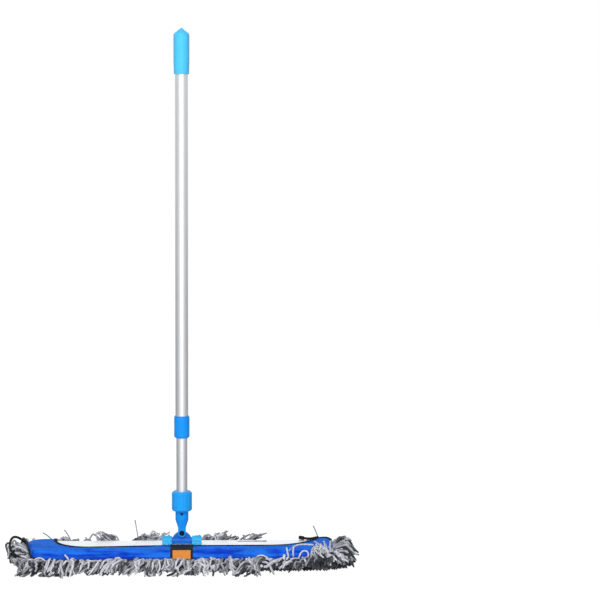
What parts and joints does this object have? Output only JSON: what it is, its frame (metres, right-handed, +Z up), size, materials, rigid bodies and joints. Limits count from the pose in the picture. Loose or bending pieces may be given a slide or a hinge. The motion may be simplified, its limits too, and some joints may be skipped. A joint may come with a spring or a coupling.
{
  "type": "flat dust mop",
  "caption": "Flat dust mop: fringed yarn pad with a nylon pocket on an aluminium frame, a two-way swivel and a telescopic aluminium handle.",
  "frame": {"origin": "on the floor, under the middle of the pad", "axes": "+X along the head, -Y to the pocket's front, +Z up along the upright handle"},
  "size_m": [0.7136, 0.1979, 1.077],
  "materials": {
    "yarn": "cut cotton yarn",
    "canvas": "plain woven canvas",
    "pocket_nylon": "woven nylon",
    "binding": "black woven tape",
    "label": "woven label with a plain orange field",
    "cord": "black braided cord",
    "plate_aluminium": "satin extrusion",
    "tube_aluminium": "satin drawn tube",
    "sticker": "printed film, blank",
    "end_plug": "moulded",
    "block": "moulded",
    "yoke": "moulded",
    "neck": "moulded",
    "nut": "moulded",
    "handle_end": "moulded",
    "lock": "moulded",
    "guide": "moulded",
    "button": "moulded",
    "steel": "zinc plated",
    "black_steel": "black finish"
  },
  "bodies": {
    "head": {"yarn_pile": "yarn", "fringe_front": "yarn", "fringe_back": "yarn", "fringe_left": "yarn", "fringe_right": "yarn", "pad_backing": "canvas", "edge_piping": "binding", "pocket_cover": "pocket_nylon", "opening_piping": "binding", "woven_label": "label", "pull_loop": "cord", "cord_tail": "cord", "cord_stop": "cord", "frame_plate": "plate_aluminium", "end_cap_left": "end_plug", "end_cap_right": "end_plug", "plate_sticker": "sticker", "bearing_block_left": "block", "bearing_block_right": "block", "block_screws": "steel"},
    "yoke": {"yoke": "yoke"},
    "neck": {"neck_socket": "neck", "pivot_bolt": "black_steel", "pivot_nut": "black_steel", "inner_tube": "tube_aluminium", "tube_guide": "guide", "button_spring": "steel"},
    "clamp_nut": {"clamp_nut": "nut"},
    "snap_button": {"snap_button": "button"},
    "handle": {"outer_tube": "tube_aluminium", "lock_sleeve": "lock", "handle_cap": "handle_end"},
    "twist_collar": {"twist_collar": "nut"}
  },
  "joints": [
    {"name": "head_tilt", "type": "hinge", "parent": "head", "child": "yoke", "pos_m": [0, 0.011, 0.052], "axis": [1, 0, 0], "range_deg": [-65, 65]},
    {"name": "neck_swing", "type": "hinge", "parent": "yoke", "child": "neck", "pos_m": [0, 0.011, 0.069], "axis": [0, 1, 0], "range_deg": [-60, 60]},
    {"name": "nut_turn", "type": "hinge", "parent": "neck", "child": "clamp_nut", "pos_m": [0, 0.011, 0.136], "axis": [0, 0, 1], "range_deg": [0, 120]},
    {"name": "button_press", "type": "slide", "parent": "neck", "child": "snap_button", "axis": [0, 1, 0], "range_m": [0, 0.004], "stiffness_N_per_m": 1500, "springref_m": -0.003, "deforming": ["button_spring"]},
    {"name": "handle_slide", "type": "slide", "parent": "neck", "child": "handle", "axis": [0, 0, 1], "range_m": [-0.1, 0.55]},
    {"name": "collar_twist", "type": "hinge", "parent": "handle", "child": "twist_collar", "pos_m": [0, 0.011, 0.283], "axis": [0, 0, 1], "range_deg": [0, 120]}
  ]
}
